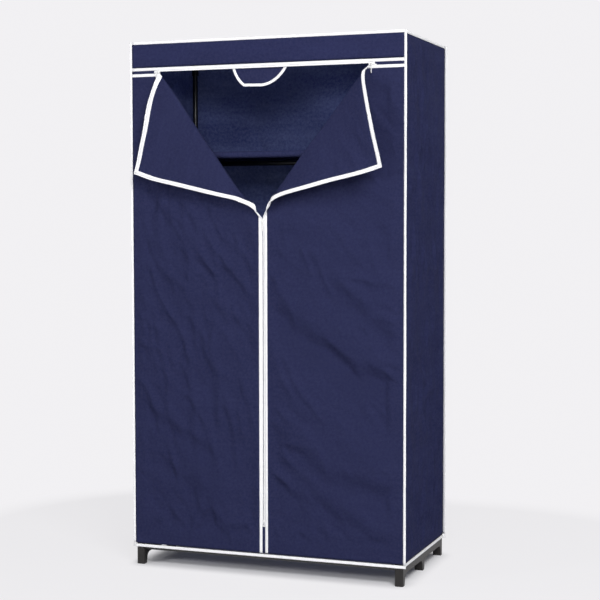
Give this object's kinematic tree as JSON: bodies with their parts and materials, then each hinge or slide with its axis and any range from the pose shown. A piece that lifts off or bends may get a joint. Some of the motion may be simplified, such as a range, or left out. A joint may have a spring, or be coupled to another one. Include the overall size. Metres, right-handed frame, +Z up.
{
  "type": "portable fabric wardrobe",
  "caption": "Zipped fabric wardrobe cover over a push-fit tube frame on moulded feet, door corners folded open, with a cloth shelf and a hanging rail inside.",
  "frame": {"origin": "on the floor, under the middle of the whole part's width and depth, the folded-open door corners counted", "axes": "+Z up, +X to the right seen from the front, the door faces -Y"},
  "size_m": [0.878, 0.5428, 1.6],
  "materials": {
    "navy_cloth": "matt spun-bonded cloth with a fine dimpled press pattern",
    "white_tape": "matt woven bias tape and zip tape",
    "white_enamel": "satin white enamel",
    "black_tube": "satin black powder coat",
    "black_plastic": "moulded, fine texture",
    "base_plastic": "moulded, fine texture"
  },
  "bodies": {
    "frame_and_cover": {"lower_upright_front_left": "black_tube", "lower_upright_front_right": "black_tube", "lower_upright_back_left": "black_tube", "lower_upright_back_right": "black_tube", "upper_upright_front_left": "black_tube", "upper_upright_front_right": "black_tube", "upper_upright_back_left": "black_tube", "upper_upright_back_right": "black_tube", "shelf_front_tube": "black_tube", "shelf_back_tube": "black_tube", "shelf_left_tube": "black_tube", "shelf_right_tube": "black_tube", "top_front_tube": "black_tube", "top_back_tube": "black_tube", "top_left_tube": "black_tube", "top_right_tube": "black_tube", "bottom_front_tube": "black_tube", "bottom_back_tube": "black_tube", "hanging_rail": "black_tube", "shelf_connector_front_left": "black_plastic", "shelf_connector_front_right": "black_plastic", "shelf_connector_back_left": "black_plastic", "shelf_connector_back_right": "black_plastic", "top_connector_front_left": "black_plastic", "top_connector_front_right": "black_plastic", "top_connector_back_left": "black_plastic", "top_connector_back_right": "black_plastic", "rail_socket_left": "black_plastic", "rail_socket_right": "black_plastic", "base_rail_left": "base_plastic", "base_rail_right": "base_plastic", "shelf_sheet": "navy_cloth", "front_left_panel": "navy_cloth", "front_right_panel": "navy_cloth", "fascia": "navy_cloth", "top_panel": "navy_cloth", "left_side_panel": "navy_cloth", "right_side_panel": "navy_cloth", "back_panel": "navy_cloth", "front_left_binding": "white_tape", "front_right_binding": "white_tape", "back_left_binding": "white_tape", "back_right_binding": "white_tape", "top_binding": "white_tape", "hem_binding": "white_tape", "fascia_zip_edge": "white_tape", "door_top_binding_left": "white_tape", "door_top_binding_right": "white_tape", "left_zip_edge": "white_tape", "right_zip_edge": "white_tape", "zip_bottom_stop": "white_enamel"},
    "left_door_corner": {"left_flap": "navy_cloth"},
    "right_door_corner": {"right_flap": "navy_cloth"},
    "guard_tab": {"centre_tab": "navy_cloth"},
    "upright_slider": {"centre_slider": "white_enamel"},
    "upright_pull": {"centre_pull": "white_enamel"},
    "top_left_slider": {"left_top_slider": "white_enamel"},
    "top_left_pull": {"left_top_pull": "white_enamel"},
    "top_right_slider": {"right_top_slider": "white_enamel"},
    "top_right_pull": {"right_top_pull": "white_enamel"}
  },
  "joints": [
    {"name": "left_corner_fold", "type": "hinge", "parent": "frame_and_cover", "child": "left_door_corner", "pos_m": [-0.16179, -0.19021, 1.29537], "axis": [-0.6075, 0, 0.7943], "range_deg": [0, 168]},
    {"name": "right_corner_fold", "type": "hinge", "parent": "frame_and_cover", "child": "right_door_corner", "pos_m": [0.1525, -0.18888, 1.29473], "axis": [-0.603, 0, -0.7978], "range_deg": [0, 157]},
    {"name": "guard_tab_swing", "type": "hinge", "parent": "frame_and_cover", "child": "guard_tab", "pos_m": [-0.0175, -0.17891, 1.5245], "axis": [1, 0, 0], "range_deg": [0, 90]},
    {"name": "upright_zip_slide", "type": "slide", "parent": "frame_and_cover", "child": "upright_slider", "axis": [0, 0, 1], "range_m": [-0.895, 0]},
    {"name": "upright_pull_swing", "type": "hinge", "parent": "upright_slider", "child": "upright_pull", "pos_m": [-0.004, -0.18556, 1.056], "axis": [-1, 0, 0], "range_deg": [0, 170]},
    {"name": "top_left_zip_slide", "type": "slide", "parent": "frame_and_cover", "child": "top_left_slider", "axis": [1, 0, 0], "range_m": [0, 0.331]},
    {"name": "top_left_pull_swing", "type": "hinge", "parent": "top_left_slider", "child": "top_left_pull", "pos_m": [-0.345, -0.18776, 1.508], "axis": [-1, 0, 0], "range_deg": [0, 150]},
    {"name": "top_right_zip_slide", "type": "slide", "parent": "frame_and_cover", "child": "top_right_slider", "axis": [-1, 0, 0], "range_m": [0, 0.327]},
    {"name": "top_right_pull_swing", "type": "hinge", "parent": "top_right_slider", "child": "top_right_pull", "pos_m": [0.333, -0.18776, 1.508], "axis": [-1, 0, 0], "range_deg": [0, 150]}
  ]
}
